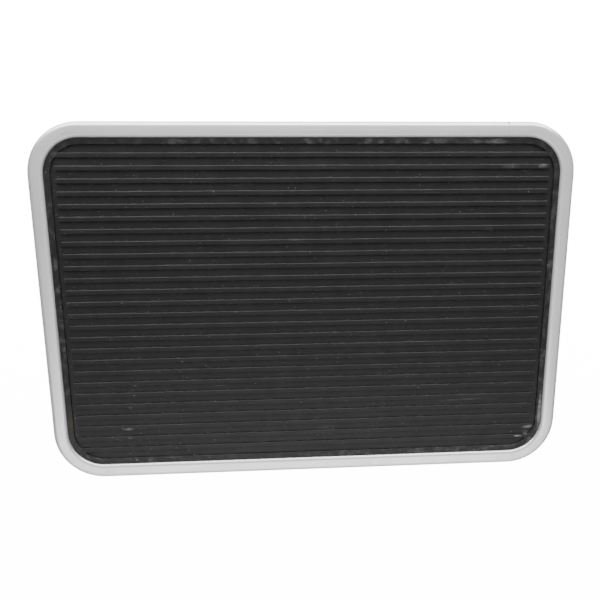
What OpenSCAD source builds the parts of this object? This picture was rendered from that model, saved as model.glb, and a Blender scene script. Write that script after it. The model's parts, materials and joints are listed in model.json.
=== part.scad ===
// Folding caravan entry step, stowed: tread up, the four legs folded under the platform.
// Origin on the surface it lies on, under the middle of the platform. X runs along the long side.

/* [Platform] */
// Length of the platform over the rim
step_l = 490; // [440:1:600]
// Width of the platform over the rim
step_w = 332; // [300:1:420]
// Outer radius of the four platform corners, seen from above
corner_r = 46; // [38:1:60]
// Depth of the outer skirt below the top of the rim
skirt_h = 40; // [37:1:60]

/* [Frame section] */
// Thickness of the steel strip that the frame is rolled from
frame_t = 1.2; // [1:0.1:1.6]
// Width of the rim round the tread
rim_w = 13.8; // [11:0.1:18]
// Outside radius of the bend between the skirt and the rim
rim_outer_r = 5; // [3:0.1:6]
// Outside radius of the bend on the tread side of the rim
rim_inner_r = 3.4; // [2.4:0.1:4]
// Width of the shelf that carries the deck
shelf_w = 12; // [8:0.5:16]
// Inside radius of the bend between the rim and the shelf
shelf_bend_r = 0.8; // [0.5:0.1:1.2]
// Width of the lip turned in along the lower edge of the skirt
lip_w = 5; // [3.5:0.5:6]
// Outside radius of the bend between the skirt and the lip
lip_r = 2.4; // [2:0.1:3]

/* [Tread] */
// Thickness of the steel deck under the mat
deck_t = 1.5; // [1:0.1:2.5]
// Gap between the edge of the deck and the frame
deck_gap = 1; // [0.9:0.1:2]
// Height of the rim above the mat
rim_proud = 2; // [0.5:0.1:3]
// Height of the mat from its underside to the top of its ribs
mat_t = 4; // [3:0.1:6]
// Depth of the grooves between the ribs
groove_d = 1.6; // [0.8:0.1:2]
// Gap between the edge of the mat and the rim
mat_gap = 0.3; // [0.2:0.1:1]
// Width of the raised border round the mat
border_w = 5.4; // [3:0.1:8]
// Radius on the upper edges of the border
border_edge_r = 0.7; // [0.3:0.1:1]
// Distance between the middles of two ribs
rib_pitch = 11; // [9:0.1:16]
// Width of a rib
rib_w = 4.7; // [3:0.1:7]
// Radius on the upper edges of a rib
rib_edge_r = 1; // [0.3:0.1:1.2]
// Radius of the corners of a rib's ends, seen from above
rib_end_r = 1; // [0.5:0.1:1.4]
// Narrowest groove between the border and the first rib
side_groove = 5; // [4:0.1:8]
// Gap between the border and the ends of the ribs
end_groove = 4.4; // [3:0.1:8]

/* [Leg] */
// Outside width of the square leg tube
tube_w = 22; // [20:0.5:25]
// Wall of the leg tube
tube_wall = 1.2; // [1:0.1:2]
// Outside corner radius of the leg tube
tube_corner_r = 2.2; // [1.8:0.1:3]
// Length of the tube beyond the pivot
tube_end = 11; // [9:0.5:13]
// Angle between a folded leg and the long side, seen from above
leg_plan_angle = 32; // [30:0.5:34]
// Angle by which an open leg leans outwards from upright
splay_angle = 24.5; // [20:0.5:27]

/* [Foot] */
// Wall of the rubber foot round the tube
foot_wall = 3; // [2.5:0.1:4]
// Height of the foot along the leg, at its middle
foot_h = 42; // [36:1:50]
// Thickness of rubber under the end of the tube, at its middle
sole_t = 11; // [10:0.5:14]
// Spread of the foot at the sole towards the middle of the step
foot_flare_in = 6; // [2:0.5:7]
// Spread of the foot at the sole away from the middle of the step
foot_flare_out = 2; // [1:0.5:4]
// Spread of the foot at the sole to each side
foot_flare_side = 1; // [0.5:0.5:3]
// Corner radius of the foot
foot_corner_r = 3.2; // [2:0.1:4]
// Width of the bead round the mouth of the foot
foot_bead_w = 4; // [2:0.5:6]
// Height of the bead above the wall of the foot
foot_bead_h = 0.8; // [0.4:0.1:1.2]
// Depth of the grooves across the sole
sole_groove_d = 1.2; // [0.6:0.1:2]
// Width of the grooves across the sole
sole_groove_w = 2.4; // [1.5:0.1:3]
// Gap between the tube and the socket of the foot
foot_fit = 0.1; // [0.05:0.05:0.2]
// Gap between a folded foot and the deck above it
foot_deck_gap = 3.5; // [1.5:0.5:8]
// Gap between the feet of the two ends of the step when folded
foot_gap_long = 13; // [10:1:60]
// Gap between the two feet of one end when folded
foot_gap_short = 5; // [2:0.5:30]

/* [Bracket] */
// Thickness of the bracket's sheet
bracket_t = 2; // [1.5:0.1:3]
// Distance that the brackets reach below the skirt
bracket_drop = 14; // [11:0.5:20]
// Length of the cheeks from the pivot towards the middle of the step
cheek_in = 17; // [15:0.5:24]
// Radius of the cheek's lower inner corner
cheek_inner_r = 8; // [3:0.5:10]
// Radius of the cheek's lower outer corner
cheek_outer_r = 4; // [2:0.5:6]
// Height of the stop strip across the outer end of the bracket
stop_h = 7.5; // [5:0.5:9]
// Distance of the stop strip from the lower end of the bracket
stop_up = 2; // [1:0.5:4]
// Margin of the cheeks outside the stop strip
stop_margin = 0.5; // [0.2:0.1:1.5]
// Gap between the open leg and the stop strip
stop_gap = 0.3; // [0.2:0.1:0.5]
// Gap between the bracket and the lip of the skirt
lip_gap = 1; // [0.6:0.1:4]

/* [Pivot] */
// Diameter of the pivot rivet
pin_d = 8; // [6:0.5:9]
// Radial clearance of the rivet in its holes
pin_fit = 0.05; // [0.02:0.01:0.1]
// Diameter of the rivet's heads
pin_head_d = 14; // [12:0.5:16]
// Height of the rivet's heads
pin_head_h = 2.8; // [2:0.1:4]
// Thickness of the washers beside the tube
washer_t = 0.8; // [0.5:0.1:1.5]
// Diameter of the washers beside the tube
washer_d = 17; // [12:0.5:20]
// Gap on each face of a washer
washer_gap = 0.1; // [0.05:0.05:0.2]
// Wall of the spacer sleeve inside the tube
sleeve_wall = 2; // [1.5:0.1:3]
// Gap at each end of the spacer sleeve
sleeve_gap = 0.1; // [0.05:0.05:0.2]

/* [Hidden] */
$fn = 64;
eps = 0.01;

front_left = [-1, -1];
front_right = [1, -1];
rear_left = [-1, 1];
rear_right = [1, 1];

// Heights above the surface that the brackets stand on
skirt_z = bracket_drop;
rim_z = skirt_z + skirt_h;
mat_top_z = rim_z - rim_proud;
mat_z = mat_top_z - mat_t;
deck_z = mat_z - deck_t;
shelf_z = deck_z - frame_t;

// Foot and leg sections
foot_w = tube_w + 2 * foot_wall;
pivot_z = deck_z - foot_deck_gap - foot_w / 2 - foot_flare_in;
cheek_y = tube_w / 2 + washer_t + 2 * washer_gap;
bracket_half = cheek_y + bracket_t;
hole_r = pin_d / 2 + pin_fit;

// Front edge of the cheeks, which leans as the open leg does
stop_face = tube_w / 2 + stop_gap;
front_face = stop_face + bracket_t + stop_margin;
function front_s(z, off) = (off - z * sin(splay_angle)) / cos(splay_angle);

// Place of the pivot: the bracket's outer corner just clears the lip of the skirt
lip_reach = corner_r - lip_w - lip_gap;
corner_s = front_s(skirt_z - pivot_z, front_face);
corner_out = [
  corner_s * cos(leg_plan_angle) - bracket_half * sin(leg_plan_angle),
  corner_s * sin(leg_plan_angle) + bracket_half * cos(leg_plan_angle)
];
pivot_bearing = 60;
pivot_dir = [cos(pivot_bearing), sin(pivot_bearing)];
along = pivot_dir * corner_out;
pivot_shift = -along + sqrt(along * along - corner_out * corner_out + lip_reach * lip_reach);
pivot_x = step_l / 2 - corner_r + pivot_shift * pivot_dir[0];
pivot_y = step_w / 2 - corner_r + pivot_shift * pivot_dir[1];

// Distance from the pivot to the middle of the sole: the folded feet just clear each other
reach_long = (pivot_x - foot_gap_long / 2 - foot_w / 2) / cos(leg_plan_angle);
reach_short = (pivot_y - foot_gap_short / 2 - foot_w / 2 - foot_flare_side) / sin(leg_plan_angle);
leg_reach = min(reach_long, reach_short);
tube_foot_end = leg_reach - sole_t;

// Ribs of the mat
mat_l = step_l - 2 * (rim_w + mat_gap);
mat_w = step_w - 2 * (rim_w + mat_gap);
mat_r = corner_r - rim_w - mat_gap;
rib_room = mat_w - 2 * (border_w + side_groove) - rib_w;
rib_count = floor(rib_room / rib_pitch) + 1;
rib_l = mat_l - 2 * (border_w + end_groove);
// The two outermost ribs run on into the rounded corners of the border
edge_rib_y = (rib_count - 1) * rib_pitch / 2;
edge_rib_dy = edge_rib_y - (mat_w / 2 - mat_r);
edge_rib_reach = sqrt(pow(mat_r - border_w / 2, 2) - edge_rib_dy * edge_rib_dy);
edge_rib_l = mat_l - 2 * mat_r + 2 * edge_rib_reach;

steel_paint = [0.76, 0.77, 0.78];
mat_black = [0.15, 0.15, 0.16];
zinc = [0.66, 0.67, 0.68];
foot_black = [0.12, 0.12, 0.12];
nylon = [0.85, 0.85, 0.82];

// Outlines with exact round corners

function unit(v) = v / norm(v);
function next_of(pts, i) = pts[(i + 1) % len(pts)];
function prev_of(pts, i) = pts[(i + len(pts) - 1) % len(pts)];
function to_prev(pts, i) = unit(prev_of(pts, i) - pts[i]);
function to_next(pts, i) = unit(next_of(pts, i) - pts[i]);
function half_angle(pts, i) = acos(to_prev(pts, i) * to_next(pts, i)) / 2;
function tangent_len(pts, i, r) = r / tan(half_angle(pts, i));
function arc_middle(pts, i, r) =
  pts[i] + unit(to_prev(pts, i) + to_next(pts, i)) * r / sin(half_angle(pts, i));

// Convex outline whose corner i has the radius radii[i], or 0 for a sharp one
module rounded_outline(pts, radii) {
  polygon([
    for (i = [0:len(pts) - 1])
      for (side = [0, 1])
        if (radii[i] > 0 || side == 0)
          pts[i] + (side == 0 ? to_prev(pts, i) : to_next(pts, i)) * tangent_len(pts, i, radii[i])
  ]);
  for (i = [0:len(pts) - 1])
    if (radii[i] > 0)
      translate(arc_middle(pts, i, radii[i])) circle(radii[i]);
}

module rounded_rect(l, w, r) {
  rounded_outline([[-l / 2, -w / 2], [l / 2, -w / 2], [l / 2, w / 2], [-l / 2, w / 2]], [r, r, r, r]);
}

// Carries a section round a rounded rectangle: x of the section runs inwards, y runs up
module around(l, w, r) {
  for (turn = [0, 180]) {
    rotate([0, 0, turn])
      translate([-(l / 2 - r), -w / 2, 0])
        rotate([90, 0, 90])
          linear_extrude(l - 2 * r) children();
    rotate([0, 0, turn + 90])
      translate([-(w / 2 - r), -l / 2, 0])
        rotate([90, 0, 90])
          linear_extrude(w - 2 * r) children();
  }
  for (corner = [[1, 1, 0], [-1, 1, 90], [-1, -1, 180], [1, -1, 270]])
    translate([corner[0] * (l / 2 - r), corner[1] * (w / 2 - r), 0])
      rotate([0, 0, corner[2]])
        rotate_extrude(angle = 90)
          translate([r, 0])
            mirror([1, 0])
              children();
}

// Quarter of a bent strip, from the direction start on, its outside radius at r
module bend(r, t, start) {
  intersection() {
    difference() {
      circle(r);
      circle(r - t);
    }
    rotate(start) square(r);
  }
}

// Frame

module frame_section() {
  t = frame_t;
  wall_top = skirt_h - rim_outer_r;
  shelf_top = deck_z - skirt_z;
  inner_wall_foot = shelf_top + shelf_bend_r;
  // Lip and skirt
  translate([lip_r, 0]) square([lip_w - lip_r, t]);
  translate([lip_r, lip_r]) bend(lip_r, t, 180);
  translate([0, lip_r]) square([t, wall_top - lip_r]);
  // Rim
  translate([rim_outer_r, wall_top]) bend(rim_outer_r, t, 90);
  translate([rim_outer_r, skirt_h - t]) square([rim_w - rim_outer_r - rim_inner_r, t]);
  translate([rim_w - rim_inner_r, skirt_h - rim_inner_r]) bend(rim_inner_r, t, 0);
  // Inner wall and shelf
  translate([rim_w - t, inner_wall_foot]) square([t, skirt_h - rim_inner_r - inner_wall_foot]);
  translate([rim_w + shelf_bend_r, inner_wall_foot]) bend(shelf_bend_r + t, t, 180);
  translate([rim_w + shelf_bend_r, shelf_top - t]) square([shelf_w - shelf_bend_r, t]);
}

module rim_frame() {
  color(steel_paint)
    translate([0, 0, skirt_z])
      around(step_l, step_w, corner_r) frame_section();
}

module deck_panel() {
  inset = rim_w + deck_gap;
  color(steel_paint)
    translate([0, 0, deck_z])
      linear_extrude(deck_t)
        rounded_rect(step_l - 2 * inset, step_w - 2 * inset, corner_r - inset);
}

// Tread mat

module ridge_section(w, h, r) {
  rounded_outline([[0, 0], [w, 0], [w, h], [0, h]], [0, 0, r, r]);
}

module tread_rib(l) {
  intersection() {
    translate([-l / 2, -rib_w / 2, 0])
      rotate([90, 0, 90])
        linear_extrude(l) ridge_section(rib_w, mat_t, rib_edge_r);
    linear_extrude(mat_t) rounded_rect(l, rib_w, rib_end_r);
  }
}

module tread_mat() {
  color(mat_black)
    translate([0, 0, mat_z]) {
      linear_extrude(mat_t - groove_d) rounded_rect(mat_l - border_w, mat_w - border_w, mat_r - border_w / 2);
      around(mat_l, mat_w, mat_r) ridge_section(border_w, mat_t, border_edge_r);
      for (i = [0:rib_count - 1])
        translate([0, i * rib_pitch - edge_rib_y, 0])
          tread_rib(i == 0 || i == rib_count - 1 ? edge_rib_l : rib_l);
    }
}

// Leg parts, drawn about the pivot: x points outwards along the folded leg, y along the rivet

module flip(axis, on) {
  if (on) mirror(axis) children();
  else children();
}

module at_corner(corner) {
  flip([1, 0, 0], corner[0] < 0)
    flip([0, 1, 0], corner[1] < 0)
      translate([pivot_x, pivot_y, pivot_z])
        rotate([0, 0, leg_plan_angle])
          children();
}

module across(length) {
  translate([0, length / 2, 0]) rotate([90, 0, 0]) linear_extrude(length) children();
}

module cheek_outline() {
  top = shelf_z - pivot_z;
  rounded_outline(
    [[-cheek_in, -pivot_z], [front_s(-pivot_z, front_face), -pivot_z], [front_s(top, front_face), top], [-cheek_in, top]],
    [cheek_inner_r, cheek_outer_r, 0, 0]
  );
}

module leg_bracket(corner) {
  top = shelf_z - pivot_z;
  stop_end = (stop_face * sin(splay_angle) + pivot_z - stop_up) / cos(splay_angle);
  color(zinc)
    at_corner(corner) {
      difference() {
        for (side = [-1, 1])
          translate([0, side * (cheek_y + bracket_t / 2), 0])
            across(bracket_t) cheek_outline();
        across(3 * bracket_half) circle(hole_r);
      }
      // Web under the shelf of the frame
      translate([-cheek_in, -cheek_y - eps, top - bracket_t])
        cube([cheek_in + front_s(top, front_face), 2 * (cheek_y + eps), bracket_t]);
      // Stop strip that the open leg leans on
      rotate([0, -splay_angle, 0])
        translate([stop_face, -cheek_y - eps, -stop_end])
          cube([bracket_t, 2 * (cheek_y + eps), stop_h]);
    }
}

module pivot_rivet(corner) {
  color(zinc)
    at_corner(corner) {
      across(2 * bracket_half + 2 * pin_fit) circle(pin_d / 2);
      for (side = [-1, 1])
        rotate([side * 90, 0, 0])
          translate([0, 0, bracket_half + pin_fit])
            rotate_extrude()
              intersection() {
                square([pin_head_d / 2, pin_head_h]);
                // Domed head whose edge has a straight quarter of its height
                translate([0, pin_head_h - dome_r(pin_head_d / 2, 0.75 * pin_head_h)])
                  circle(dome_r(pin_head_d / 2, 0.75 * pin_head_h));
              }
    }
}

function dome_r(half, rise) = (half * half + rise * rise) / (2 * rise);

module hinge_washers() {
  color(nylon)
    for (corner = [front_left, front_right, rear_left, rear_right])
      at_corner(corner)
        for (side = [-1, 1])
          translate([0, side * (tube_w / 2 + washer_gap + washer_t / 2), 0])
            across(washer_t)
              difference() {
                circle(washer_d / 2);
                circle(hole_r);
              }
}

module tube_section() {
  difference() {
    rounded_rect(tube_w, tube_w, tube_corner_r);
    rounded_rect(tube_w - 2 * tube_wall, tube_w - 2 * tube_wall, tube_corner_r - tube_wall);
  }
}

module leg_tube(corner) {
  color(steel_paint)
    at_corner(corner)
      difference() {
        translate([-tube_foot_end, 0, 0])
          rotate([0, 90, 0])
            linear_extrude(tube_foot_end + tube_end) tube_section();
        across(2 * tube_w) circle(hole_r);
      }
}

module spacer_sleeve(corner) {
  color(zinc)
    at_corner(corner)
      across(tube_w - 2 * tube_wall - 2 * sleeve_gap)
        difference() {
          circle(hole_r + sleeve_wall);
          circle(hole_r);
        }
}

// Slice of the foot's outline, square to the leg, s from the pivot
module foot_slice(s, up, down, half, lean) {
  translate([-s, 0, 0])
    rotate([0, 90 + lean, 0])
      linear_extrude(eps)
        translate([(down - up) / 2, 0])
          rounded_rect(up + down, 2 * half, foot_corner_r);
}

module rubber_foot(corner) {
  half = foot_w / 2;
  mouth = leg_reach - foot_h;
  up = (half + foot_flare_in) / cos(splay_angle);
  down = (half + foot_flare_out) / cos(splay_angle);
  socket = tube_w + 2 * foot_fit;
  color(foot_black)
    at_corner(corner)
      difference() {
        union() {
          hull($fn = 32) {
            foot_slice(mouth + foot_bead_w / 2, half, half, half, 0);
            foot_slice(leg_reach, up, down, half + foot_flare_side, splay_angle);
          }
          translate([-mouth - foot_bead_w, 0, 0])
            rotate([0, 90, 0])
              linear_extrude(foot_bead_w)
                rounded_rect(foot_w + 2 * foot_bead_h, foot_w + 2 * foot_bead_h, foot_corner_r);
        }
        // Socket for the tube
        translate([-tube_foot_end, 0, 0])
          rotate([0, 90, 0])
            linear_extrude(foot_h)
              rounded_rect(socket, socket, tube_corner_r);
        // Grooves across the sole
        for (i = [-1:1])
          translate([-leg_reach, 0, 0])
            rotate([0, splay_angle, 0])
              translate([0, 0, (i - 0.3) * 8])
                cube([2 * sole_groove_d, 3 * foot_w, sole_groove_w], center = true);
      }
}

rim_frame();
deck_panel();
tread_mat();
leg_bracket(front_left);  // leg_bracket_front_left
leg_bracket(front_right);  // leg_bracket_front_right
leg_bracket(rear_left);  // leg_bracket_rear_left
leg_bracket(rear_right);  // leg_bracket_rear_right
pivot_rivet(front_left);  // pivot_rivet_front_left
pivot_rivet(front_right);  // pivot_rivet_front_right
pivot_rivet(rear_left);  // pivot_rivet_rear_left
pivot_rivet(rear_right);  // pivot_rivet_rear_right
hinge_washers();
leg_tube(front_left);  // leg_tube_front_left
leg_tube(front_right);  // leg_tube_front_right
leg_tube(rear_left);  // leg_tube_rear_left
leg_tube(rear_right);  // leg_tube_rear_right
spacer_sleeve(front_left);  // spacer_sleeve_front_left
spacer_sleeve(front_right);  // spacer_sleeve_front_right
spacer_sleeve(rear_left);  // spacer_sleeve_rear_left
spacer_sleeve(rear_right);  // spacer_sleeve_rear_right
rubber_foot(front_left);  // rubber_foot_front_left
rubber_foot(front_right);  // rubber_foot_front_right
rubber_foot(rear_left);  // rubber_foot_rear_left
rubber_foot(rear_right);  // rubber_foot_rear_right
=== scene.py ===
import bpy
import json
import math
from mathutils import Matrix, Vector, noise


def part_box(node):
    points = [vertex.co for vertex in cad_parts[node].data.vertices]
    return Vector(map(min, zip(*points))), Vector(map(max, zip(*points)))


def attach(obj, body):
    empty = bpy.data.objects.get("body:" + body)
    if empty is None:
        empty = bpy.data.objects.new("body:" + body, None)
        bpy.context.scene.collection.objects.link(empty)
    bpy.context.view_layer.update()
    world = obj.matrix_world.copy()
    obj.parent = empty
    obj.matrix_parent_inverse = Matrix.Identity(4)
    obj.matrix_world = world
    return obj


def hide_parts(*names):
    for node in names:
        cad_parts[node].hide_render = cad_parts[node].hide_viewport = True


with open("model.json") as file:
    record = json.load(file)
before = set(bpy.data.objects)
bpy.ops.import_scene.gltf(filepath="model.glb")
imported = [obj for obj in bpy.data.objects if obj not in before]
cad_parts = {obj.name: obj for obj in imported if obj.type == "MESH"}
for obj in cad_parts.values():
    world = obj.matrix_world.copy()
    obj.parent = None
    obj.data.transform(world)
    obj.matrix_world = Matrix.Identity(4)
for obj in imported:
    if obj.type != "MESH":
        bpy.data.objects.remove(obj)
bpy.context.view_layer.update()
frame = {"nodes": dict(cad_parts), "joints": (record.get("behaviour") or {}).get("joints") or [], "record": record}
record = frame["record"]
nodes = frame["nodes"]
mm = 0.001
print("frame loaded,", len(nodes), "nodes")

# the four legs are named after the corner of the platform they belong to
legCorners = ("front_left", "front_right", "rear_left", "rear_right")
hinges = {joint["child"]: joint for joint in frame["joints"]}


def deselectAll():
    if bpy.context.object and bpy.context.object.mode != "OBJECT":
        bpy.ops.object.mode_set(mode="OBJECT")
    bpy.ops.object.select_all(action="DESELECT")


def makeActive(piece):
    deselectAll()
    piece.select_set(True)
    bpy.context.view_layer.objects.active = piece


def zeroPlace(piece):
    makeActive(piece)
    bpy.ops.object.transform_apply(location=True, rotation=True, scale=True)


# shader helpers

def addNode(tree, kind, place):
    made = tree.nodes.new(kind)
    made.location = place
    return made


def setValues(node, values):
    for name, value in values.items():
        node.inputs[name].default_value = value


def feed(tree, socket, value):
    # a number or a colour becomes the socket's own value, and another socket is linked to it
    if isinstance(value, (int, float)):
        socket.default_value = value
    elif isinstance(value, (tuple, list)):
        socket.default_value = (*value, 1.0)
    else:
        tree.links.new(value, socket)


def mathNode(tree, operation, place, first, second=None, third=None, clamp=False):
    made = addNode(tree, "ShaderNodeMath", place)
    made.operation = operation
    made.use_clamp = clamp
    for index, value in enumerate((first, second, third)):
        if value is not None:
            feed(tree, made.inputs[index], value)
    return made.outputs[0]


def vectorMath(tree, operation, place, first, second=None):
    made = addNode(tree, "ShaderNodeVectorMath", place)
    made.operation = operation
    for index, value in enumerate((first, second)):
        if value is not None:
            feed(tree, made.inputs[index], value)
    return made.outputs["Value" if operation in ("DOT_PRODUCT", "LENGTH") else "Vector"]


def splitVector(tree, place, vector):
    made = addNode(tree, "ShaderNodeSeparateXYZ", place)
    tree.links.new(vector, made.inputs[0])
    return made.outputs


def noiseNode(tree, place, vector, scale, detail=4.0, roughness=0.55, distortion=0.0):
    made = addNode(tree, "ShaderNodeTexNoise", place)
    setValues(made, {"Detail": detail, "Roughness": roughness, "Distortion": distortion})
    tree.links.new(vector, made.inputs["Vector"])
    feed(tree, made.inputs["Scale"], scale)
    return made.outputs["Fac"]


def rangeNode(tree, place, value, low, high, toLow=0.0, toHigh=1.0):
    made = addNode(tree, "ShaderNodeMapRange", place)
    made.interpolation_type = "SMOOTHSTEP"
    tree.links.new(value, made.inputs["Value"])
    setValues(made, {"From Min": low, "From Max": high, "To Min": toLow, "To Max": toHigh})
    return made.outputs["Result"]


def mixColour(tree, place, factor, first, second, blend="MIX"):
    made = addNode(tree, "ShaderNodeMix", place)
    made.data_type = "RGBA"
    made.blend_type = blend
    for index, value in ((0, factor), (6, first), (7, second)):
        feed(tree, made.inputs[index], value)
    return made.outputs[2]


def layOver(tree, place, mask, amount, base, colour):
    # a layer of one colour where the mask is, as strong as the amount
    strength = mathNode(tree, "MULTIPLY", (place[0] - 160, place[1] - 180), mask, amount)
    return mixColour(tree, place, strength, base, colour)


def stretched(tree, place, vector, scale, turn=(0, 0, 0)):
    made = addNode(tree, "ShaderNodeMapping", place)
    setValues(made, {"Scale": scale, "Rotation": turn})
    tree.links.new(vector, made.inputs["Vector"])
    return made.outputs["Vector"]


def newGroup(name, inputs, outputs):
    tree = bpy.data.node_groups.new(name, "ShaderNodeTree")
    for label, kind, value in inputs:
        socket = tree.interface.new_socket(name=label, in_out="INPUT", socket_type=kind)
        if value is not None:
            socket.default_value = value
    for label, kind in outputs:
        tree.interface.new_socket(name=label, in_out="OUTPUT", socket_type=kind)
    start = addNode(tree, "NodeGroupInput", (-1200, 0))
    end = addNode(tree, "NodeGroupOutput", (900, 0))
    return tree, start, end


def placeGroup(tree, group, place, vector, **values):
    made = addNode(tree, "ShaderNodeGroup", place)
    made.node_tree = group
    tree.links.new(vector, made.inputs["Vector"])
    setValues(made, values)
    return made


def buildEdgeRub():
    # where an edge has been rubbed: the rounded normal differs from the true one
    tree, start, end = newGroup(
        "edgeRub",
        [("Vector", "NodeSocketVector", None), ("Breakup", "NodeSocketFloat", 90.0),
         ("Amount", "NodeSocketFloat", 1.0)],
        [("Mask", "NodeSocketFloat")])
    bevel = addNode(tree, "ShaderNodeBevel", (-900, 200))
    bevel.samples = 6
    bevel.inputs["Radius"].default_value = 0.9 * mm
    geometry = addNode(tree, "ShaderNodeNewGeometry", (-900, 0))
    dot = vectorMath(tree, "DOT_PRODUCT", (-700, 100), bevel.outputs["Normal"], geometry.outputs["Normal"])
    turned = rangeNode(tree, (-500, 100), dot, 0.995, 0.86)
    speckle = noiseNode(tree, (-700, -200), start.outputs["Vector"], start.outputs["Breakup"], 5.0, 0.65)
    patchy = rangeNode(tree, (-500, -200), speckle, 0.45, 0.62)
    both = mathNode(tree, "MULTIPLY", (-250, 0), turned, patchy)
    scaled = mathNode(tree, "MULTIPLY", (-50, 0), both, start.outputs["Amount"], clamp=True)
    tree.links.new(scaled, end.inputs["Mask"])
    return tree


def buildPaintSkin():
    # orange peel, flake and the faint clouding of sprayed enamel
    tree, start, end = newGroup(
        "paintSkin",
        [("Vector", "NodeSocketVector", None), ("Peel Scale", "NodeSocketFloat", 420.0),
         ("Flake Scale", "NodeSocketFloat", 5200.0), ("Cloud Scale", "NodeSocketFloat", 9.0)],
        [("Height", "NodeSocketFloat"), ("Flake", "NodeSocketFloat"), ("Cloud", "NodeSocketFloat")])
    vector = start.outputs["Vector"]
    height = noiseNode(tree, (-600, 300), vector, start.outputs["Peel Scale"], 2.0, 0.5)
    flake = noiseNode(tree, (-600, 40), vector, start.outputs["Flake Scale"], 1.0, 0.5)
    cloud = noiseNode(tree, (-600, -220), vector, start.outputs["Cloud Scale"], 5.0, 0.5)
    tree.links.new(height, end.inputs["Height"])
    tree.links.new(flake, end.inputs["Flake"])
    tree.links.new(rangeNode(tree, (-300, -220), cloud, 0.3, 0.7), end.inputs["Cloud"])
    return tree


def buildHandling():
    # thin scratches in two directions, and the mask of a dry dust film
    tree, start, end = newGroup(
        "handling",
        [("Vector", "NodeSocketVector", None), ("Scratch Scale", "NodeSocketFloat", 60.0),
         ("Dust Scale", "NodeSocketFloat", 35.0)],
        [("Scratches", "NodeSocketFloat"), ("Dust", "NodeSocketFloat")])
    vector = start.outputs["Vector"]
    lines = []
    for row, turn in enumerate((0.35, 1.9)):
        path = stretched(tree, (-900, 300 - 260 * row), vector, (0.06, 1.6, 1.6), (0, 0, turn))
        hairs = noiseNode(tree, (-650, 300 - 260 * row), path, start.outputs["Scratch Scale"], 3.0, 0.7, 0.15)
        lines.append(rangeNode(tree, (-450, 300 - 260 * row), hairs, 0.68, 0.74))
    both = mathNode(tree, "MAXIMUM", (-200, 200), lines[0], lines[1])
    few = rangeNode(tree, (-450, -300), noiseNode(tree, (-650, -300), vector, 18.0), 0.48, 0.66)
    tree.links.new(mathNode(tree, "MULTIPLY", (0, 150), both, few), end.inputs["Scratches"])
    dust = noiseNode(tree, (-650, -560), vector, start.outputs["Dust Scale"], 8.0, 0.72)
    tree.links.new(rangeNode(tree, (-450, -560), dust, 0.42, 0.78), end.inputs["Dust"])
    return tree


def buildRubberSkin():
    # fine moulded grain with a slow wave, as on rubber pressed in a worn mould
    tree, start, end = newGroup(
        "rubberSkin",
        [("Vector", "NodeSocketVector", None), ("Grain Scale", "NodeSocketFloat", 1800.0),
         ("Wave Scale", "NodeSocketFloat", 60.0)],
        [("Height", "NodeSocketFloat"), ("Tone", "NodeSocketFloat")])
    vector = start.outputs["Vector"]
    grain = noiseNode(tree, (-700, 200), vector, start.outputs["Grain Scale"], 4.0, 0.6)
    wave = noiseNode(tree, (-700, -100), vector, start.outputs["Wave Scale"], 2.0, 0.5)
    slow = mathNode(tree, "MULTIPLY", (-450, -100), wave, 2.5)
    tree.links.new(mathNode(tree, "ADD", (-200, 100), grain, slow), end.inputs["Height"])
    tree.links.new(rangeNode(tree, (-200, -200), wave, 0.3, 0.72), end.inputs["Tone"])
    return tree


edgeRub = buildEdgeRub()
paintSkin = buildPaintSkin()
handling = buildHandling()
rubberSkin = buildRubberSkin()
print("node groups built")


def newMaterial(name, settings):
    made = bpy.data.materials.new(name)
    made.use_nodes = True
    tree = made.node_tree
    shader = tree.nodes["Principled BSDF"]
    shader.location = (600, 0)
    tree.nodes["Material Output"].location = (900, 0)
    setValues(shader, settings)
    coordinates = addNode(tree, "ShaderNodeTexCoord", (-1400, 0))
    return made, tree, shader, coordinates.outputs["Object"]


def addBump(tree, shader, place, height, strength, distance):
    bump = addNode(tree, "ShaderNodeBump", place)
    setValues(bump, {"Strength": strength, "Distance": distance})
    tree.links.new(height, bump.inputs["Height"])
    tree.links.new(bump.outputs["Normal"], shader.inputs["Normal"])


paint = {
    "colour": (0.546, 0.543, 0.565),
    "deepColour": (0.502, 0.50, 0.523),
    "bareMetal": (0.32, 0.32, 0.33),
    "dustColour": (0.36, 0.34, 0.31),
    "scratchColour": (0.66, 0.66, 0.67),
    "dusty": 0.10,
    "scratched": 0.22,
    "rubbed": 0.55,
    "roughness": 0.32,
    "coatRoughness": 0.18,
    "metallic": 0.6,
    "peel": 0.12,
    "peelDepth": 0.12 * mm,
}
weldSeam = {
    "x": 180 * mm,
    "fromY": 150 * mm,
    "bendY": 163.2 * mm,
    "fade": 0.6 * mm,
    "wobble": 0.6 * mm,
    "halfWidth": 0.65 * mm,
    "onBend": 1.0,
    "onFlat": 0.10,
    "colour": (0.06, 0.058, 0.056),
}


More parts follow.
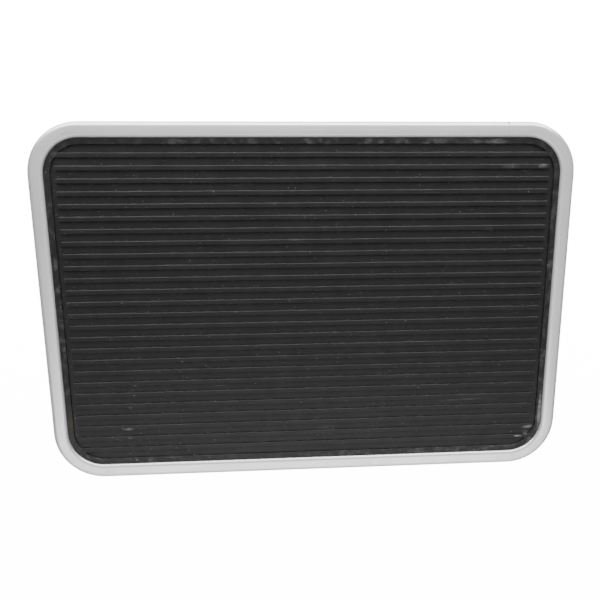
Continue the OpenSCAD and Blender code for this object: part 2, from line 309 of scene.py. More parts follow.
def enamel(name, tone=1.0, seam=False, coat=0.3):
    made, tree, shader, place = newMaterial(name, {
        "Metallic": paint["metallic"], "Coat Weight": coat, "Coat Roughness": paint["coatRoughness"],
        "Specular IOR Level": 0.5})
    skin = placeGroup(tree, paintSkin, (-1100, 300), place)
    marks = placeGroup(tree, handling, (-1100, -100), place)
    worn = placeGroup(tree, edgeRub, (-1100, -400), place, Amount=paint["rubbed"])
    colour = tuple(c * tone for c in paint["colour"])
    deep = tuple(c * tone for c in paint["deepColour"])
    base = mixColour(tree, (-800, 300), skin.outputs["Cloud"], deep, colour)
    flake = rangeNode(tree, (-800, 520), skin.outputs["Flake"], 0.35, 0.75, 0.94, 1.07)
    base = mixColour(tree, (-600, 300), 1.0, base, flake, "MULTIPLY")
    base = layOver(tree, (-400, 300), marks.outputs["Dust"], paint["dusty"], base, paint["dustColour"])
    base = layOver(tree, (-200, 300), marks.outputs["Scratches"], paint["scratched"], base, paint["scratchColour"])
    base = mixColour(tree, (0, 300), worn.outputs["Mask"], base, paint["bareMetal"])
    if seam:
        base, coatWeight = addSeam(tree, place, base, coat)
        tree.links.new(coatWeight, shader.inputs["Coat Weight"])
    tree.links.new(base, shader.inputs["Base Color"])
    smooth = paint["roughness"]
    rough = rangeNode(tree, (-400, -150), skin.outputs["Cloud"], 0.0, 1.0, smooth + 0.05, smooth)
    rough = mathNode(tree, "MULTIPLY_ADD", (-200, -150), marks.outputs["Dust"], 0.16, rough)
    tree.links.new(rough, shader.inputs["Roughness"])
    addBump(tree, shader, (300, -300), skin.outputs["Height"], paint["peel"], paint["peelDepth"])
    return made


def addSeam(tree, place, base, coat):
    # the butt weld: a dark line on the bend and the skirt, ground almost flush on the flat of the rim
    split = splitVector(tree, (-600, 800), place)
    wobble = noiseNode(tree, (-800, 900), place, 400.0, 2.0)
    shifted = mathNode(tree, "MULTIPLY_ADD", (-600, 950), wobble, weldSeam["wobble"], split["X"])
    offset = mathNode(tree, "SUBTRACT", (-400, 950), shifted, weldSeam["x"] + weldSeam["wobble"] / 2)
    away = mathNode(tree, "ABSOLUTE", (-200, 950), offset)
    half = weldSeam["halfWidth"]
    line = rangeNode(tree, (0, 950), away, half * 1.6, half * 0.5)
    bend, fade = weldSeam["bendY"], weldSeam["fade"]
    depth = rangeNode(tree, (-200, 750), split["Y"], bend - fade, bend + fade, weldSeam["onFlat"], weldSeam["onBend"])
    rear = mathNode(tree, "GREATER_THAN", (-200, 600), split["Y"], weldSeam["fromY"])
    strength = mathNode(tree, "MULTIPLY", (200, 850), line, mathNode(tree, "MULTIPLY", (0, 700), depth, rear))
    coatWeight = mathNode(tree, "MULTIPLY_ADD", (400, 900), strength, -coat, coat)
    return mixColour(tree, (400, 500), strength, base, weldSeam["colour"]), coatWeight


rubber = {
    "colour": (0.0058, 0.0059, 0.0061),
    "paleColour": (0.0079, 0.0079, 0.0079),
    "dustColour": (0.050, 0.046, 0.040),
    "scuffColour": (0.095, 0.095, 0.093),
    "scratched": 0.45,
    "roughness": 0.50,
    "specular": 0.17,
    "grain": 0.25,
    "grainDepth": 0.12 * mm,
}
matWear = {
    "grooveZ": 51.0 * mm,
    "grooveFade": 0.3 * mm,
    "grooveDust": 0.02,
    # painted highlight: the rear edges of the ribs, which face the light, made paler
    "arris": 0.3,
    "paintedRibHighlightColour": (0.045, 0.045, 0.044),
    "border": 0.8,
    "borderColour": (0.060, 0.058, 0.056),
    "smearColour": (0.16, 0.16, 0.158),
    "specks": 0.55,
    "speckColour": (0.22, 0.22, 0.21),
    # each mark: middle x and y, half length and half width in mm, and how strong it is
    "marks": (
        (152.2, 148.4, 5.3, 2.2, 0.22), (169.6, 148.8, 12.7, 2.7, 0.30), (184.9, 127.1, 9.7, 2.5, 0.16),
        (214.4, 127.0, 4.9, 2.6, 0.34), (218.4, -127.6, 6.8, 2.4, 0.55), (216.3, -133.9, 3.0, 3.4, 0.34),
        (208.6, -137.0, 4.8, 0.9, 1.0), (228.9, -111.3, 2.0, 24.0, 0.75), (221.2, -142.2, 3.2, 5.2, 0.26),
        (-174.6, -117.1, 6.7, 2.1, 0.50), (-183.0, -128.5, 1.2, 1.2, 0.25), (-172.4, -125.9, 3.5, 1.1, 0.30),
        (-164.8, -129.1, 2.2, 1.1, 0.28), (-171.3, -95.6, 2.9, 2.0, 0.22), (-165.8, -73.8, 3.2, 1.4, 0.26),
        (164.6, -150.7, 1.8, 1.2, 0.30), (-168.2, -148.9, 1.4, 1.8, 0.30), (-214.7, -144.0, 1.9, 1.8, 0.25)),
    "grime": (-227.6, -114.0, 5.0, 24.0, 0.9),
    "grimeColour": (0.021, 0.018, 0.014),
}
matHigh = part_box("tread_mat")[1]
matZone = {
    "halfLength": matHigh.x,
    "halfWidth": matHigh.y,
    "topZ": matHigh.z,
    "cornerRadius": 31.9 * mm,
    "borderWidth": 5.4 * mm,
    "borderFade": 0.6 * mm,
    "ribEnd": 205 * mm,
    "ribEndFade": 14 * mm,
}


def buildMatZones():
    # distance in from the mat's rounded outline, and how near a rib's end a point lies
    tree, start, end = newGroup(
        "matZones",
        [("Vector", "NodeSocketVector", None)],
        [("Border", "NodeSocketFloat"), ("Rib Ends", "NodeSocketFloat")])
    split = splitVector(tree, (-1000, 0), start.outputs["Vector"])
    radius = matZone["cornerRadius"]
    squares = []
    for axis, half, row in (("X", matZone["halfLength"], 150), ("Y", matZone["halfWidth"], -150)):
        across = mathNode(tree, "ABSOLUTE", (-800, row), split[axis])
        past = mathNode(tree, "SUBTRACT", (-600, row), across, half - radius)
        past = mathNode(tree, "MAXIMUM", (-400, row), past, 0.0)
        squares.append(mathNode(tree, "MULTIPLY", (-200, row), past, past))
    reach = mathNode(tree, "SQRT", (200, 0), mathNode(tree, "ADD", (0, 0), *squares))
    inner, fade = radius - matZone["borderWidth"], matZone["borderFade"]
    tree.links.new(rangeNode(tree, (400, 0), reach, inner - fade, inner + fade), end.inputs["Border"])
    ribEnd = matZone["ribEnd"]
    along = mathNode(tree, "ABSOLUTE", (200, -300), split["X"])
    tree.links.new(rangeNode(tree, (400, -300), along, ribEnd, ribEnd + matZone["ribEndFade"]), end.inputs["Rib Ends"])
    return tree


def buildScuffMark():
    # one broken-up oval smudge about a given point
    tree, start, end = newGroup(
        "scuffMark",
        [("Vector", "NodeSocketVector", None), ("Middle", "NodeSocketVector", None),
         ("Reach", "NodeSocketVector", (1, 1, 1))],
        [("Mask", "NodeSocketFloat")])
    offset = vectorMath(tree, "SUBTRACT", (-900, 100), start.outputs["Vector"], start.outputs["Middle"])
    away = vectorMath(tree, "LENGTH", (-500, 100),
                      vectorMath(tree, "DIVIDE", (-700, 100), offset, start.outputs["Reach"]))
    inside = rangeNode(tree, (-300, 100), away, 1.1, 0.4)
    path = stretched(tree, (-900, -200), start.outputs["Vector"], (0.5, 1.0, 1.0))
    crumbs = noiseNode(tree, (-700, -200), path, 420.0, 4.0, 0.7)
    broken = rangeNode(tree, (-500, -200), crumbs, 0.36, 0.60, 0.15, 1.0)
    tree.links.new(mathNode(tree, "MULTIPLY", (-100, 0), inside, broken), end.inputs["Mask"])
    return tree


matZones = buildMatZones()
scuffMark = buildScuffMark()


def blackRubber(name, tone=1.0, dusty=0.08, scuffed=0.5, mat=False):
    made, tree, shader, place = newMaterial(name, {"Specular IOR Level": rubber["specular"]})
    skin = placeGroup(tree, rubberSkin, (-1100, 300), place)
    marks = placeGroup(tree, handling, (-1100, -100), place, **{"Scratch Scale": 90.0, "Dust Scale": 24.0})
    worn = placeGroup(tree, edgeRub, (-1100, -400), place, Amount=scuffed, Breakup=160.0)
    colour = tuple(c * tone for c in rubber["colour"])
    pale = tuple(c * tone for c in rubber["paleColour"])
    base = mixColour(tree, (-700, 300), skin.outputs["Tone"], colour, pale)
    base = layOver(tree, (-500, 300), marks.outputs["Dust"], dusty, base, rubber["dustColour"])
    base = layOver(tree, (-300, 300), marks.outputs["Scratches"], rubber["scratched"], base, rubber["scuffColour"])
    base = mixColour(tree, (-100, 300), worn.outputs["Mask"], base, rubber["scuffColour"])
    if mat:
        base = addMatWear(tree, place, base)
    tree.links.new(base, shader.inputs["Base Color"])
    rough = mathNode(tree, "MULTIPLY_ADD", (-200, -150), marks.outputs["Dust"], 0.12, rubber["roughness"])
    tree.links.new(rough, shader.inputs["Roughness"])
    addBump(tree, shader, (300, -300), skin.outputs["Height"], rubber["grain"], rubber["grainDepth"])
    return made


def placeMark(tree, place, row, x, y, halfLength, halfWidth):
    spot = placeGroup(tree, scuffMark, (-1100, row), place,
                      Middle=(x * mm, y * mm, matZone["topZ"]), Reach=(halfLength * mm, halfWidth * mm, 1))
    return spot.outputs["Mask"]


def addMarks(tree, place, base):
    # the larger scuffs seen on the mat, and the grimy stretch of the border near one corner
    *spot, amount = matWear["grime"]
    base = layOver(tree, (-500, 3000), placeMark(tree, place, 3000, *spot), amount, base, matWear["grimeColour"])
    total = 0.0
    for count, (*spot, amount) in enumerate(matWear["marks"]):
        row = 3200 + 200 * count
        total = mathNode(tree, "MULTIPLY_ADD", (-800, row), placeMark(tree, place, row, *spot), amount, total)
    total = mathNode(tree, "MINIMUM", (-500, 3300), total, 1.0)
    return mixColour(tree, (-300, 3200), total, base, matWear["smearColour"])


def addMatWear(tree, place, base):
    # painted highlight along the rear edges of the ribs, which face the light, dust in the grooves and on the border,
    # scuffs along the ribs, and specks
    zones = placeGroup(tree, matZones, (-1100, 1400), place)
    height = splitVector(tree, (-1100, 2300), place)["Z"]
    normal = addNode(tree, "ShaderNodeTexCoord", (-1300, 2050)).outputs["Normal"]
    facing = splitVector(tree, (-1100, 2050), normal)["Y"]
    grooveZ = matWear["grooveZ"]
    low = rangeNode(tree, (-900, 2300), height, grooveZ, grooveZ - matWear["grooveFade"])
    base = layOver(tree, (-500, 2300), low, matWear["grooveDust"], base, rubber["dustColour"])
    # painted highlight: faces tilting towards the rear, where the light comes from, made paler in patches
    rise = rangeNode(tree, (-900, 2050), facing, 0.22, 0.40)
    fall = rangeNode(tree, (-900, 1850), facing, 0.86, 0.70)
    patchy = noiseNode(tree, (-1100, 1700), place, 38.0, 4.0, 0.7)
    uneven = rangeNode(tree, (-900, 1700), patchy, 0.30, 0.62, 0.35, 1.0)
    arris = mathNode(tree, "MULTIPLY", (-500, 1950), mathNode(tree, "MULTIPLY", (-700, 1950), rise, fall), uneven)
    base = layOver(tree, (-300, 1950), arris, matWear["arris"], base, matWear["paintedRibHighlightColour"])
    broad = rangeNode(tree, (-700, 1600), noiseNode(tree, (-900, 1600), place, 11.0, 2.0), 0.38, 0.68, 0.25, 1.0)
    spotty = noiseNode(tree, (-900, 1400), place, 130.0, 5.0, 0.75)
    patches = mathNode(tree, "MULTIPLY", (-600, 1500), broad, rangeNode(tree, (-700, 1400), spotty, 0.47, 0.66))
    borderDust = mathNode(tree, "MULTIPLY", (-500, 1500), patches, zones.outputs["Border"])
    base = layOver(tree, (-300, 1300), borderDust, matWear["border"], base, matWear["borderColour"])
    smearPath = stretched(tree, (-1100, 1100), place, (0.3, 1.0, 1.0))
    streaks = noiseNode(tree, (-900, 1100), smearPath, 95.0, 5.0, 0.75)
    smears = rangeNode(tree, (-700, 1100), streaks, 0.64, 0.80)
    atEnds = mathNode(tree, "MULTIPLY_ADD", (-500, 1000), zones.outputs["Rib Ends"], 0.6, 0.22)
    base = layOver(tree, (-100, 1300), smears, atEnds, base, matWear["smearColour"])
    base = addMarks(tree, place, base)
    grit = noiseNode(tree, (-900, 800), place, 620.0, 2.0, 0.5)
    specks = rangeNode(tree, (-700, 800), grit, 0.72, 0.76)
    return layOver(tree, (100, 1300), specks, matWear["specks"], base, matWear["speckColour"])


zincPlate = {
    "colour": (0.60, 0.605, 0.60),
    "deepColour": (0.47, 0.475, 0.48),
    "scratchColour": (0.75, 0.75, 0.75),
    "rubColour": (0.78, 0.78, 0.78),
    "scratched": 0.5,
    "rubbed": 0.5,
    "roughness": 0.34,
}


def zincSteel(name, metallic=0.9):
    made, tree, shader, place = newMaterial(name, {"Metallic": metallic})
    marks = placeGroup(tree, handling, (-1100, -100), place, **{"Scratch Scale": 140.0, "Dust Scale": 60.0})
    worn = placeGroup(tree, edgeRub, (-1100, -400), place, Amount=zincPlate["rubbed"])
    spangle = addNode(tree, "ShaderNodeTexVoronoi", (-1100, 300))
    setValues(spangle, {"Scale": 170.0, "Randomness": 1.0})
    tree.links.new(place, spangle.inputs["Vector"])
    grey = addNode(tree, "ShaderNodeRGBToBW", (-900, 300))
    tree.links.new(spangle.outputs["Color"], grey.inputs[0])
    base = mixColour(tree, (-600, 300), grey.outputs[0], zincPlate["deepColour"], zincPlate["colour"])
    base = layOver(tree, (-400, 300), marks.outputs["Scratches"], zincPlate["scratched"], base,
                   zincPlate["scratchColour"])
    base = mixColour(tree, (-200, 300), worn.outputs["Mask"], base, zincPlate["rubColour"])
    tree.links.new(base, shader.inputs["Base Color"])
    smooth = zincPlate["roughness"]
    rough = rangeNode(tree, (-400, -150), grey.outputs[0], 0.0, 1.0, smooth + 0.1, smooth)
    tree.links.new(rough, shader.inputs["Roughness"])
    addBump(tree, shader, (300, -300), noiseNode(tree, (-400, -400), place, 700.0, 3.0), 0.15, 0.1 * mm)
    return made


def nylonPlastic(name):
    made, tree, shader, place = newMaterial(name, {
        "Roughness": 0.45, "Subsurface Weight": 0.15, "Subsurface Scale": 2 * mm})
    cloud = noiseNode(tree, (-800, 200), place, 220.0, 4.0)
    base = mixColour(tree, (-500, 200), cloud, (0.70, 0.69, 0.64), (0.80, 0.79, 0.75))
    tree.links.new(base, shader.inputs["Base Color"])
    addBump(tree, shader, (300, -300), cloud, 0.1, 0.1 * mm)
    return made


finishes = {
    "frame_paint": enamel("frameEnamel", seam=True),
    "deck_paint": enamel("deckEnamel", tone=0.96, coat=0.05),
    "leg_paint": enamel("legEnamel", tone=1.02),
    "bracket_zinc": enamel("bracketEnamel", tone=0.94, coat=0.05),
    "rivet_zinc": zincSteel("rivetZinc"),
    "sleeve_steel": zincSteel("sleeveSteel", 1.0),
    "washer_nylon": nylonPlastic("washerNylon"),
    "mat_rubber": blackRubber("matRubber", mat=True),
    "foot_rubber": blackRubber("footRubber", tone=0.9, dusty=0.12, scuffed=0.35),
}
slotOfNode = {part["node"]: part["material_slot"] for part in record["subparts"]}


def dress(piece, slotName):
    piece.data.materials.clear()
    piece.data.materials.append(finishes[slotName])


for name, piece in nodes.items():
    dress(piece, slotOfNode[name])
print("materials assigned to the solids")


# the mat: the moulding's own solid, cut across so that its ribs can wander a little

matWander = {
    "cuts": 64,
    "ribPitch": 11 * mm,
    "ribWidth": 4.7 * mm,
    "firstRib": -137.5 * mm,
    "ribCount": 26,
    "grooveFloor": 2.4 * mm,
    "slitWidth": 0.45 * mm,
    "slitDepth": 0.35 * mm,
    "near": 0.03 * mm,
    "sideways": 0.22 * mm,
    "upDown": 0.10 * mm,
    "stillEdge": 12 * mm,
    "waves": 22.0,
    "fineWaves": 75.0,
    "fineSideways": 0.35,
    "fineUpDown": 0.4,
    "seed": 7,
    "weldDistance": 0.002 * mm,
    "smoothAngle": 32,
}


def copyNode(name, pieceName):
    # a free copy of a solid, with its seams between faces welded
    source = nodes[name]
    piece = source.copy()
    piece.data = source.data.copy()
    piece.name = pieceName
    piece.data.name = pieceName
    for key in list(piece.keys()):
        del piece[key]
    piece.parent = None
    bpy.context.scene.collection.objects.link(piece)
    makeActive(piece)
    bpy.ops.object.mode_set(mode="EDIT")
    bpy.ops.mesh.select_all(action="SELECT")
    bpy.ops.mesh.remove_doubles(threshold=matWander["weldDistance"])
    bpy.ops.object.mode_set(mode="OBJECT")
    if piece.data.has_custom_normals:
        bpy.ops.mesh.customdata_custom_splitnormals_clear()
    return piece


def sinkSlits(mat, floorZ):
    # a fine slit along the front foot of each rib and along the border, but not where the border faces the rear
    inner = matZone["cornerRadius"] - matZone["borderWidth"]
    near = matWander["near"]
    feet = [matWander["firstRib"] + i * matWander["ribPitch"] - matWander["ribWidth"] / 2
            for i in range(matWander["ribCount"])]
    for vertex in mat.data.vertices:
        point = vertex.co
        if abs(point.z - floorZ) > near:
            continue
        pastX = max(0.0, abs(point.x) - (matZone["halfLength"] - matZone["cornerRadius"]))
        pastY = max(0.0, abs(point.y) - (matZone["halfWidth"] - matZone["cornerRadius"]))
        facesRear = pastY / inner if point.y < 0 else 0.0
        if abs(math.hypot(pastX, pastY) - inner) < near:
            vertex.co.z -= matWander["slitDepth"] * (1.0 - min(1.0, facesRear))
        elif any(abs(point.y - foot) < near for foot in feet):
            vertex.co.z -= matWander["slitDepth"]


def makeMat():
    low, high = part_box("tread_mat")
    mat = copyNode("tread_mat", "ribbedMat")
    floorZ = low.z + matWander["grooveFloor"]
    bpy.ops.object.mode_set(mode="EDIT")
    bpy.ops.mesh.select_mode(type="FACE")
    bpy.ops.mesh.select_all(action="DESELECT")
    bpy.ops.object.mode_set(mode="OBJECT")
    for face in mat.data.polygons:
        face.select = face.normal.z > 0.99 and abs(face.center.z - floorZ) < matWander["near"]
    bpy.ops.object.mode_set(mode="EDIT")
    bpy.ops.mesh.inset(thickness=matWander["slitWidth"], depth=0, use_even_offset=True)
    step = (high.x - low.x) / matWander["cuts"]
    for cut in range(1, matWander["cuts"]):
        bpy.ops.mesh.select_all(action="SELECT")
        bpy.ops.mesh.bisect(plane_co=(low.x + cut * step, 0, 0), plane_no=(1, 0, 0))
    bpy.ops.object.mode_set(mode="OBJECT")
    sinkSlits(mat, floorZ)
    middle = (low + high) / 2
    half = (high - low) / 2
    still = matWander["stillEdge"]
    noise.seed_set(matWander["seed"])
    for vertex in mat.data.vertices:
        point = vertex.co
        rise = (point.z - low.z) / (high.z - low.z)
        # nothing moves at the underside or along the outer edge
        edge = min(1.0, (half.x - abs(point.x - middle.x)) / still, (half.y - abs(point.y - middle.y)) / still)
        free = max(0.0, edge) * rise
        if free <= 0:
            continue
        slow = noise.noise_vector(Vector((point.x, point.y * 1.6, 3.1)) * matWander["waves"])
        quick = noise.noise_vector(Vector((point.x, point.y, 9.7)) * matWander["fineWaves"])
        vertex.co.y += free * matWander["sideways"] * (slow.y + matWander["fineSideways"] * quick.y)
        if rise > 0.9:
            vertex.co.z -= free * matWander["upDown"] * abs(slow.z + matWander["fineUpDown"] * quick.z)
    makeActive(mat)
    bpy.ops.object.shade_smooth_by_angle(angle=math.radians(matWander["smoothAngle"]))
    dress(mat, "mat_rubber")
    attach(mat, "platform")
    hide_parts("tread_mat")
    return mat


mat = makeMat()
print("mat made,", len(mat.data.polygons), "faces")


# rubber boots on the legs: one is shaped about its hinge with the leg along X, then copied to each corner

boot = {
    "reach": 220.03 * mm,
    "height": 42 * mm,
    "width": 28 * mm,
    "beadWidth": 4 * mm,
    "beadHeight": 0.8 * mm,
    "soleRise": 20 * mm,
    "soleDrop": 16 * mm,
    "soleHalf": 15 * mm,
    "soleAngle": 24.5,
    "soleThickness": 11 * mm,
    "cutBeyond": 3 * mm,
    "cornerRadius": 3.2 * mm,
    "cornerSegments": 5,
    "socketWidth": 22.2 * mm,
    "soleRound": 1.1 * mm,
    "beadRound": 0.55 * mm,
    "roundSegments": 3,
    "near": 0.02 * mm,
    "smoothAngle": 35,
    "grooveSpots": (-10.4 * mm, -2.4 * mm, 5.6 * mm),
    "grooveWidth": 2.4 * mm,
    "grooveDepth": 1.2 * mm,
}


def pickFaces(piece, test):
    # selects the faces that pass the test and goes back to edit mode
    bpy.ops.object.mode_set(mode="EDIT")
    bpy.ops.mesh.select_mode(type="FACE")
    bpy.ops.mesh.select_all(action="DESELECT")
    bpy.ops.object.mode_set(mode="OBJECT")
    for face in piece.data.polygons:
        face.select = test(face)
    bpy.ops.object.mode_set(mode="EDIT")


def pickEdges(piece, test):
    # the same for edges, which are tested by their two ends
    bpy.ops.object.mode_set(mode="EDIT")
    bpy.ops.mesh.select_mode(type="EDGE")
    bpy.ops.mesh.select_all(action="DESELECT")
    bpy.ops.object.mode_set(mode="OBJECT")
    points = piece.data.vertices
    for edge in piece.data.edges:
        edge.select = test(points[edge.vertices[0]].co, points[edge.vertices[1]].co)
    bpy.ops.object.mode_set(mode="EDIT")


def cutSoleGrooves(piece, soleAcross):
    slant = math.radians(boot["soleAngle"])
    cutters = []
    for spot in boot["grooveSpots"]:
        centre = Vector((-boot["reach"], 0, 0)) + soleAcross * spot
        deselectAll()
        bpy.ops.mesh.primitive_cube_add(size=1, location=centre, rotation=(0, slant, 0),
                                        scale=(2 * boot["grooveDepth"], 2 * boot["width"], boot["grooveWidth"]))
        cutters.append(bpy.context.object)
    for cutter in cutters:
        cutter.select_set(True)
    bpy.ops.object.join()
    cutter = bpy.context.object
    makeActive(piece)
    groove = piece.modifiers.new("grooves", "BOOLEAN")
    groove.object = cutter
    groove.operation = "DIFFERENCE"
    groove.solver = "EXACT"
    bpy.ops.object.modifier_apply(modifier=groove.name)
    bpy.data.objects.remove(cutter, do_unlink=True)


def makeBoot():
    slant = math.radians(boot["soleAngle"])
    soleOut = Vector((-math.cos(slant), 0, math.sin(slant)))
    soleAcross = Vector((math.sin(slant), 0, math.cos(slant)))
    soleMiddle = Vector((-boot["reach"], 0, 0))
    half = boot["width"] / 2
    mouth = -(boot["reach"] - boot["height"])
    collar = mouth - boot["beadWidth"]
    # the walls run straight from the collar through the edges of the slanted sole, to a square end beyond it
    upperRun = collar + boot["reach"] - boot["soleRise"] * math.tan(slant)
    lowerRun = collar + boot["reach"] + boot["soleDrop"] * math.tan(slant)
    length = lowerRun + boot["cutBeyond"]
    endRise = half + (boot["soleRise"] - half) * length / upperRun
    endDrop = half + (boot["soleDrop"] - half) * length / lowerRun
    endHalf = half + (boot["soleHalf"] - half) * length / (collar + boot["reach"])
    end = collar - length
    deselectAll()
    bpy.ops.mesh.primitive_cube_add(size=1, location=((collar + end) / 2, 0, 0),
                                    scale=(length, boot["width"], boot["width"]))
    piece = bpy.context.object
    piece.name = "rubberBoot"
    zeroPlace(piece)
    pickFaces(piece, lambda face: face.normal.x < -0.9)
    bpy.ops.transform.resize(value=(1, endHalf / half, (endRise + endDrop) / boot["width"]),
                             center_override=(end, 0, 0))
    bpy.ops.transform.translate(value=(0, 0, (endRise - endDrop) / 2))
    bpy.ops.mesh.select_all(action="SELECT")
    bpy.ops.mesh.bisect(plane_co=soleMiddle, plane_no=soleOut, use_fill=True, clear_outer=True)
    pickEdges(piece, lambda a, b: abs(a.x - b.x) > boot["height"] / 2)
    bpy.ops.mesh.bevel(offset=boot["cornerRadius"], segments=boot["cornerSegments"], affect="EDGES")

    def onSole(point):
        return abs((point - soleMiddle).dot(soleOut)) < boot["near"]

    # the sole's rim is rounded before the grooves are cut
    pickEdges(piece, lambda a, b: onSole(a) and onSole(b))
    bpy.ops.mesh.bevel(offset=boot["soleRound"], segments=boot["roundSegments"], affect="EDGES")
    # bead, mouth and socket grow out of the square end
    beadScale = 1 + boot["beadHeight"] / half
    socketScale = boot["socketWidth"] / (boot["width"] * beadScale)
    pickFaces(piece, lambda face: face.normal.x > 0.9)
    bpy.ops.mesh.extrude_region_move()
    bpy.ops.transform.resize(value=(1, beadScale, beadScale), center_override=(collar, 0, 0))
    bpy.ops.mesh.extrude_region_move(TRANSFORM_OT_translate={"value": (boot["beadWidth"], 0, 0)})
    bpy.ops.mesh.extrude_region_move()
    bpy.ops.transform.resize(value=(1, socketScale, socketScale), center_override=(mouth, 0, 0))
    socketDepth = boot["height"] - boot["soleThickness"]
    bpy.ops.mesh.extrude_region_move(TRANSFORM_OT_translate={"value": (-socketDepth, 0, 0)})
    beadHalf = half * beadScale

    def onBead(point):
        outside = max(abs(point.y), abs(point.z)) > beadHalf - boot["cornerRadius"] * 0.4
        return point.x > collar - boot["near"] and outside

    pickEdges(piece, lambda a, b: onBead(a) and onBead(b) and abs(a.x - b.x) < boot["near"])
    bpy.ops.mesh.bevel(offset=boot["beadRound"], segments=boot["roundSegments"], affect="EDGES")
    bpy.ops.object.mode_set(mode="OBJECT")
    cutSoleGrooves(piece, soleAcross)
    return piece


def placeAtHinge(piece, corner, pieceName):
    # turned about the vertical so that X points outwards along the folded leg, and set on the hinge
    joint = hinges["leg_" + corner]
    made = piece.copy()
    made.data = piece.data.copy()
    made.name = pieceName
    made.data.name = pieceName
    bpy.context.scene.collection.objects.link(made)
    made.location = joint["pos_m"]
    made.rotation_euler = (0, 0, math.atan2(joint["axis"][0], -joint["axis"][1]))
    zeroPlace(made)
    bpy.ops.object.mode_set(mode="EDIT")
    bpy.ops.mesh.select_all(action="SELECT")
    bpy.ops.mesh.normals_make_consistent(inside=False)
    bpy.ops.object.mode_set(mode="OBJECT")
    return made


def cornerName(start, corner):
    return start + "".join(word.capitalize() for word in corner.split("_"))


def makeBoots():
    pattern = makeBoot()
    for corner in legCorners:
        piece = placeAtHinge(pattern, corner, cornerName("rubberBoot", corner))
        bpy.ops.object.shade_smooth_by_angle(angle=math.radians(boot["smoothAngle"]))
        dress(piece, "foot_rubber")
        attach(piece, "leg_" + corner)
        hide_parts("rubber_foot_" + corner)
    bpy.data.objects.remove(pattern, do_unlink=True)


makeBoots()
print("boots made")


# folded sheet, tube and strip: the solids' own shapes with their cut edges broken, as after deburring

brokenEdges = {
    "flatAngle": 0.2,
    "smoothAngle": 30,
    "segments": 2,
    "bracket": {"slot": "bracket_zinc", "weld": 0.03 * mm, "round": 0.15 * mm, "sharp": 35},
    "tube": {"slot": "leg_paint", "weld": 0.002 * mm, "round": 0.15 * mm, "sharp": 50},
    "frame": {"slot": "frame_paint", "weld": 0.002 * mm, "round": 0.25 * mm, "sharp": 50},
}


def breakEdges(nodeName, pieceName, body, kind):
    settings = brokenEdges[kind]
    piece = copyNode(nodeName, pieceName)
    bpy.ops.object.mode_set(mode="EDIT")
    bpy.ops.mesh.select_all(action="SELECT")
    bpy.ops.mesh.remove_doubles(threshold=settings["weld"])
    bpy.ops.mesh.dissolve_limited(angle_limit=math.radians(brokenEdges["flatAngle"]))
    bpy.ops.mesh.select_mode(type="EDGE")
    bpy.ops.mesh.select_all(action="DESELECT")
    bpy.ops.mesh.edges_select_sharp(sharpness=math.radians(settings["sharp"]))
    bpy.ops.mesh.bevel(offset=settings["round"], segments=brokenEdges["segments"], affect="EDGES",
                       clamp_overlap=False)
    bpy.ops.object.mode_set(mode="OBJECT")
    bpy.ops.object.shade_smooth_by_angle(angle=math.radians(brokenEdges["smoothAngle"]))
    dress(piece, settings["slot"])
    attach(piece, body)
    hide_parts(nodeName)


for corner in legCorners:
    breakEdges("leg_bracket_" + corner, cornerName("foldedBracket", corner), "platform", "bracket")
    breakEdges("leg_tube_" + corner, cornerName("squareLeg", corner), "leg_" + corner, "tube")
breakEdges("rim_frame", "rolledFrame", "platform", "frame")
print("cut edges broken")


# floor, light and camera

studio = {
    "floorSize": 9.0,
    "floorZ": -177.5 * mm,
    "floorColour": (0.93, 0.93, 0.93),
    "floorMottle": 0.99,
    "floorGlow": 15.0,
    "floorLight": 0.2,
    "backdropGlow": 17.0,
    "worldStrength": 0.3,
    "floorBounce": (0.34, 0.34, 0.345),
    "lamps": [
        {"name": "rearStrip", "place": (0.0, 0.62, 0.10), "size": (1.5, 0.24), "power": 10.0, "aim": (0, 0, 0.05)},
        {"name": "rearMid", "place": (0.0, 0.62, 0.30), "size": (1.5, 0.24), "power": 13.8, "aim": (0, 0, 0.05)},
        {"name": "rearBank", "place": (-0.05, 0.75, 1.30), "size": (2.0, 1.0), "power": 8.6, "aim": (0, 0, 0.04)},
        {"name": "frontHigh", "place": (0.0, -0.75, 1.25), "size": (1.9, 0.7), "power": 10.0, "aim": (0, -0.1, 0.04)},
        {"name": "frontSteep", "place": (0.0, -0.28, 1.25), "size": (1.9, 0.45), "power": 2.8,
         "aim": (0, -0.16, 0.05)},
        {"name": "frontLow", "place": (0.0, -0.50, 0.07), "size": (1.4, 0.14), "power": 1.4, "aim": (0, 0, 0.05)},
        {"name": "frontNear", "place": (0.0, -0.26, 0.17), "size": (1.1, 0.20), "power": 0.45,
         "aim": (0, -0.165, 0.05), "spread": 80},
        {"name": "leftHigh", "place": (-0.95, 0.0, 1.1), "size": (0.7, 1.2), "power": 0.3, "aim": (-0.1, 0, 0.04)},
        {"name": "rightHigh", "place": (0.95, 0.0, 1.1), "size": (0.7, 1.2), "power": 1.1, "aim": (0.1, 0, 0.04)},
    ],
}
# fitted to the corners of the rim and of the mat in the photograph
view = {
    "place": (-0.032032, 0.1168, 0.599574),
    "turnDegrees": (-12.152, -3.8804, -0.2786),
    "lens": 36.0,
    "sensor": 36.0,
    "shift": (-0.0241, 0.0132),
}


def seenByCamera(tree, place, seen, unseen):
    # one value for what the camera sees and another for the light it gives
    path = addNode(tree, "ShaderNodeLightPath", place)
    lift = mathNode(tree, "MULTIPLY", (place[0] + 200, place[1]), path.outputs["Is Camera Ray"], seen - unseen)
    return mathNode(tree, "ADD", (place[0] + 400, place[1]), lift, unseen)


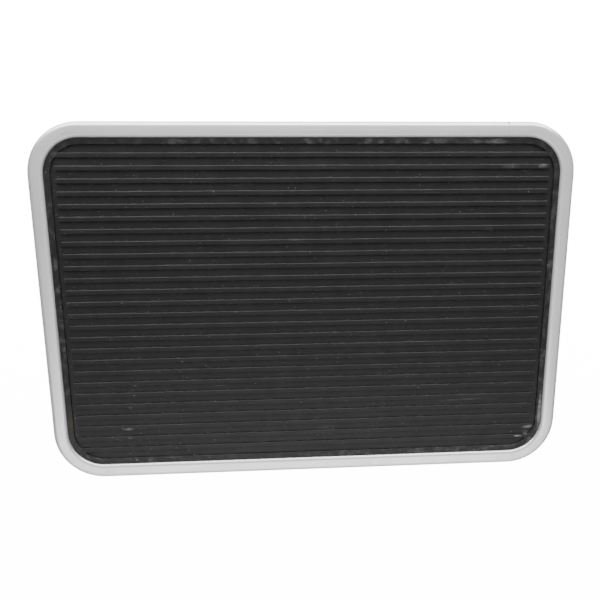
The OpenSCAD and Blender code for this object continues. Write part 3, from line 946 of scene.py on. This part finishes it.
def makeFloor():
    deselectAll()
    # it lies where the feet of the opened legs stand, and can be looked through from below
    bpy.ops.mesh.primitive_plane_add(size=studio["floorSize"], location=(0, 0, studio["floorZ"]))
    floor = bpy.context.object
    floor.name = "studioFloor"
    made, tree, shader, place = newMaterial("paleFloor", {"Roughness": 0.8, "Specular IOR Level": 0.2})
    shade = noiseNode(tree, (-600, 0), place, 2.5, 3.0)
    mottled = tuple(c * studio["floorMottle"] for c in studio["floorColour"])
    pale = mixColour(tree, (-300, 0), shade, studio["floorColour"], mottled)
    tree.links.new(pale, shader.inputs["Emission Color"])
    path = addNode(tree, "ShaderNodeLightPath", (-300, 300))
    base = mixColour(tree, (0, 200), path.outputs["Is Camera Ray"], studio["floorBounce"], pale)
    tree.links.new(base, shader.inputs["Base Color"])
    glow = seenByCamera(tree, (-600, -400), studio["floorGlow"], studio["floorLight"])
    tree.links.new(glow, shader.inputs["Emission Strength"])
    side = addNode(tree, "ShaderNodeNewGeometry", (0, -600))
    solid = mathNode(tree, "SUBTRACT", (200, -600), 1.0, side.outputs["Backfacing"])
    tree.links.new(solid, shader.inputs["Alpha"])
    floor.data.materials.append(made)


def makeLights():
    world = bpy.data.worlds.new("studioWorld")
    world.use_nodes = True
    tree = world.node_tree
    background = tree.nodes["Background"]
    background.inputs["Color"].default_value = (1.0, 1.0, 1.0, 1.0)
    strength = seenByCamera(tree, (-700, 0), studio["backdropGlow"], studio["worldStrength"])
    tree.links.new(strength, background.inputs["Strength"])
    bpy.context.scene.world = world
    for lamp in studio["lamps"]:
        light = bpy.data.lights.new(lamp["name"], "AREA")
        light.shape = "RECTANGLE"
        light.size, light.size_y = lamp["size"]
        light.energy = lamp["power"]
        light.spread = math.radians(lamp.get("spread", 180))
        holder = bpy.data.objects.new(lamp["name"], light)
        holder.location = lamp["place"]
        aim = Vector(lamp["aim"]) - Vector(lamp["place"])
        holder.rotation_euler = aim.to_track_quat("-Z", "Y").to_euler()
        holder.visible_camera = False
        bpy.context.scene.collection.objects.link(holder)


def makeCamera():
    camera = bpy.data.cameras.new("photoCamera")
    camera.lens = view["lens"]
    camera.sensor_width = view["sensor"]
    camera.shift_x, camera.shift_y = view["shift"]
    camera.clip_start = 0.01
    holder = bpy.data.objects.new("photoCamera", camera)
    holder.location = view["place"]
    holder.rotation_euler = [math.radians(a) for a in view["turnDegrees"]]
    bpy.context.scene.collection.objects.link(holder)
    bpy.context.scene.camera = holder


makeFloor()
makeLights()
makeCamera()
print("studio ready")
